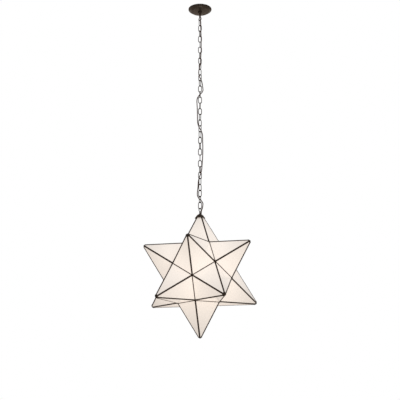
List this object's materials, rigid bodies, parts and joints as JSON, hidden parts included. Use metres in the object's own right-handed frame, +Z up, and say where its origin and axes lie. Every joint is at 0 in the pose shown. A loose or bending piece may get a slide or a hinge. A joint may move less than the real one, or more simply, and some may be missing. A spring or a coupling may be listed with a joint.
{
  "type": "moravian star pendant",
  "caption": "Twelve-pointed stellated star lantern of opal glass panels in dark metal cames, hung by a long link chain from a round ceiling canopy.",
  "frame": {"origin": "centre of the two screw slots of the ceiling strap, in the plane of the ceiling and of the canopy's rim", "axes": "+Z up towards the ceiling; the slots lie along X; one upper point of the star faces -Y"},
  "size_m": [0.5814, 0.6114, 1.9108],
  "materials": {
    "chain": "dark bronze, satin",
    "canopy": "mottled dark bronze, satin",
    "cap": "dark bronze, satin",
    "plated_steel": "zinc plated",
    "socket": "moulded, matte",
    "screw_shell": "plain",
    "bulb": "frosted",
    "cord": "smooth jacket, dark brown",
    "came": "dark patina",
    "opal_glass": "opal white, lightly mottled"
  },
  "bodies": {
    "ceiling": {"canopy": "canopy", "crossbar": "plated_steel", "canopy_nut": "plated_steel", "loop_collar": "canopy", "canopy_loop": "canopy", "lamp_cord": "cord"},
    "link_01": {"chain_link_01": "chain"},
    "link_02": {"chain_link_02": "chain"},
    "link_03": {"chain_link_03": "chain"},
    "link_04": {"chain_link_04": "chain"},
    "link_05": {"chain_link_05": "chain"},
    "link_06": {"chain_link_06": "chain"},
    "link_07": {"chain_link_07": "chain"},
    "link_08": {"chain_link_08": "chain"},
    "link_09": {"chain_link_09": "chain"},
    "link_10": {"chain_link_10": "chain"},
    "link_11": {"chain_link_11": "chain"},
    "link_12": {"chain_link_12": "chain"},
    "link_13": {"chain_link_13": "chain"},
    "link_14": {"chain_link_14": "chain"},
    "link_15": {"chain_link_15": "chain"},
    "link_16": {"chain_link_16": "chain"},
    "link_17": {"chain_link_17": "chain"},
    "link_18": {"chain_link_18": "chain"},
    "link_19": {"chain_link_19": "chain"},
    "link_20": {"chain_link_20": "chain"},
    "link_21": {"chain_link_21": "chain"},
    "link_22": {"chain_link_22": "chain"},
    "link_23": {"chain_link_23": "chain"},
    "link_24": {"chain_link_24": "chain"},
    "link_25": {"chain_link_25": "chain"},
    "link_26": {"chain_link_26": "chain"},
    "link_27": {"chain_link_27": "chain"},
    "link_28": {"chain_link_28": "chain"},
    "link_29": {"chain_link_29": "chain"},
    "link_30": {"chain_link_30": "chain"},
    "link_31": {"chain_link_31": "chain"},
    "link_32": {"chain_link_32": "chain"},
    "link_33": {"chain_link_33": "chain"},
    "star": {"bulb_base": "screw_shell", "bulb_glass": "bulb", "glass_point_bottom": "opal_glass", "glass_point_lower_1": "opal_glass", "glass_point_lower_2": "opal_glass", "glass_point_lower_3": "opal_glass", "glass_point_lower_4": "opal_glass", "glass_point_lower_5": "opal_glass", "glass_point_top": "opal_glass", "glass_point_upper_1": "opal_glass", "glass_point_upper_2": "opal_glass", "glass_point_upper_3": "opal_glass", "glass_point_upper_4": "opal_glass", "glass_point_upper_5": "opal_glass", "ridge_cames": "came", "socket": "socket", "star_loop": "cap", "stem_nut": "plated_steel", "stem_pipe": "plated_steel", "valley_cames": "came", "vase_cap": "cap"}
  },
  "joints": [
    {"name": "link_01_swing", "type": "hinge", "parent": "ceiling", "child": "link_01", "pos_m": [0, 0, -0.0735], "axis": [0.8387, -0.5446, 0], "range_deg": [-45, 45], "deforming": ["lamp_cord"]},
    {"name": "link_02_swing", "type": "hinge", "parent": "link_01", "child": "link_02", "pos_m": [0, 0, -0.10783], "axis": [0.4067, 0.9135, 0], "range_deg": [-45, 45]},
    {"name": "link_03_swing", "type": "hinge", "parent": "link_02", "child": "link_03", "pos_m": [0, 0, -0.14216], "axis": [-0.9659, 0.2588, 0], "range_deg": [-45, 45]},
    {"name": "link_04_swing", "type": "hinge", "parent": "link_03", "child": "link_04", "pos_m": [0, 0, -0.17649], "axis": [-0.1045, -0.9945, 0], "range_deg": [-45, 45]},
    {"name": "link_05_swing", "type": "hinge", "parent": "link_04", "child": "link_05", "pos_m": [0, 0, -0.21082], "axis": [0.9986, 0.0523, 0], "range_deg": [-45, 45]},
    {"name": "link_06_swing", "type": "hinge", "parent": "link_05", "child": "link_06", "pos_m": [0, 0, -0.24515], "axis": [-0.2079, 0.9781, 0], "range_deg": [-45, 45]},
    {"name": "link_07_swing", "type": "hinge", "parent": "link_06", "child": "link_07", "pos_m": [0, 0, -0.27948], "axis": [-0.9336, -0.3584, 0], "range_deg": [-45, 45]},
    {"name": "link_08_swing", "type": "hinge", "parent": "link_07", "child": "link_08", "pos_m": [0, 0, -0.31381], "axis": [0.5, -0.866, 0], "range_deg": [-45, 45]},
    {"name": "link_09_swing", "type": "hinge", "parent": "link_08", "child": "link_09", "pos_m": [0, 0, -0.34814], "axis": [0.7771, 0.6293, 0], "range_deg": [-45, 45]},
    {"name": "link_10_swing", "type": "hinge", "parent": "link_09", "child": "link_10", "pos_m": [0, 0, -0.38247], "axis": [-0.7431, 0.6691, 0], "range_deg": [-45, 45]},
    {"name": "link_11_swing", "type": "hinge", "parent": "link_10", "child": "link_11", "pos_m": [0, 0, -0.4168], "axis": [-0.5446, -0.8387, 0], "range_deg": [-45, 45]},
    {"name": "link_12_swing", "type": "hinge", "parent": "link_11", "child": "link_12", "pos_m": [0, 0, -0.45113], "axis": [0.9135, -0.4067, 0], "range_deg": [-45, 45]},
    {"name": "link_13_swing", "type": "hinge", "parent": "link_12", "child": "link_13", "pos_m": [0, 0, -0.48546], "axis": [0.2588, 0.9659, 0], "range_deg": [-45, 45]},
    {"name": "link_14_swing", "type": "hinge", "parent": "link_13", "child": "link_14", "pos_m": [0, 0, -0.51979], "axis": [-0.9945, 0.1045, 0], "range_deg": [-45, 45]},
    {"name": "link_15_swing", "type": "hinge", "parent": "link_14", "child": "link_15", "pos_m": [0, 0, -0.55412], "axis": [0.0523, -0.9986, 0], "range_deg": [-45, 45]},
    {"name": "link_16_swing", "type": "hinge", "parent": "link_15", "child": "link_16", "pos_m": [0, 0, -0.58845], "axis": [0.9781, 0.2079, 0], "range_deg": [-45, 45]},
    {"name": "link_17_swing", "type": "hinge", "parent": "link_16", "child": "link_17", "pos_m": [0, 0, -0.62278], "axis": [-0.3584, 0.9336, 0], "range_deg": [-45, 45]},
    {"name": "link_18_swing", "type": "hinge", "parent": "link_17", "child": "link_18", "pos_m": [0, 0, -0.65711], "axis": [-0.866, -0.5, 0], "range_deg": [-45, 45]},
    {"name": "link_19_swing", "type": "hinge", "parent": "link_18", "child": "link_19", "pos_m": [0, 0, -0.69144], "axis": [0.6293, -0.7771, 0], "range_deg": [-45, 45]},
    {"name": "link_20_swing", "type": "hinge", "parent": "link_19", "child": "link_20", "pos_m": [0, 0, -0.72577], "axis": [0.6691, 0.7431, 0], "range_deg": [-45, 45]},
    {"name": "link_21_swing", "type": "hinge", "parent": "link_20", "child": "link_21", "pos_m": [0, 0, -0.7601], "axis": [-0.8387, 0.5446, 0], "range_deg": [-45, 45]},
    {"name": "link_22_swing", "type": "hinge", "parent": "link_21", "child": "link_22", "pos_m": [0, 0, -0.79443], "axis": [-0.4067, -0.9135, 0], "range_deg": [-45, 45]},
    {"name": "link_23_swing", "type": "hinge", "parent": "link_22", "child": "link_23", "pos_m": [0, 0, -0.82876], "axis": [0.9659, -0.2588, 0], "range_deg": [-45, 45]},
    {"name": "link_24_swing", "type": "hinge", "parent": "link_23", "child": "link_24", "pos_m": [0, 0, -0.86309], "axis": [0.1045, 0.9945, 0], "range_deg": [-45, 45]},
    {"name": "link_25_swing", "type": "hinge", "parent": "link_24", "child": "link_25", "pos_m": [0, 0, -0.89742], "axis": [-0.9986, -0.0523, 0], "range_deg": [-45, 45]},
    {"name": "link_26_swing", "type": "hinge", "parent": "link_25", "child": "link_26", "pos_m": [0, 0, -0.93175], "axis": [0.2079, -0.9781, 0], "range_deg": [-45, 45]},
    {"name": "link_27_swing", "type": "hinge", "parent": "link_26", "child": "link_27", "pos_m": [0, 0, -0.96608], "axis": [0.9336, 0.3584, 0], "range_deg": [-45, 45]},
    {"name": "link_28_swing", "type": "hinge", "parent": "link_27", "child": "link_28", "pos_m": [0, 0, -1.00041], "axis": [-0.5, 0.866, 0], "range_deg": [-45, 45]},
    {"name": "link_29_swing", "type": "hinge", "parent": "link_28", "child": "link_29", "pos_m": [0, 0, -1.03474], "axis": [-0.7771, -0.6293, 0], "range_deg": [-45, 45]},
    {"name": "link_30_swing", "type": "hinge", "parent": "link_29", "child": "link_30", "pos_m": [0, 0, -1.06907], "axis": [0.7431, -0.6691, 0], "range_deg": [-45, 45]},
    {"name": "link_31_swing", "type": "hinge", "parent": "link_30", "child": "link_31", "pos_m": [0, 0, -1.1034], "axis": [0.5446, 0.8387, 0], "range_deg": [-45, 45]},
    {"name": "link_32_swing", "type": "hinge", "parent": "link_31", "child": "link_32", "pos_m": [0, 0, -1.13773], "axis": [-0.9135, 0.4067, 0], "range_deg": [-45, 45]},
    {"name": "link_33_swing", "type": "hinge", "parent": "link_32", "child": "link_33", "pos_m": [0, 0, -1.17206], "axis": [-0.2588, -0.9659, 0], "range_deg": [-45, 45]},
    {"name": "star_swing", "type": "hinge", "parent": "link_33", "child": "star", "pos_m": [0, 0, -1.20639], "axis": [0.9945, -0.1045, 0], "range_deg": [-45, 45]}
  ]
}
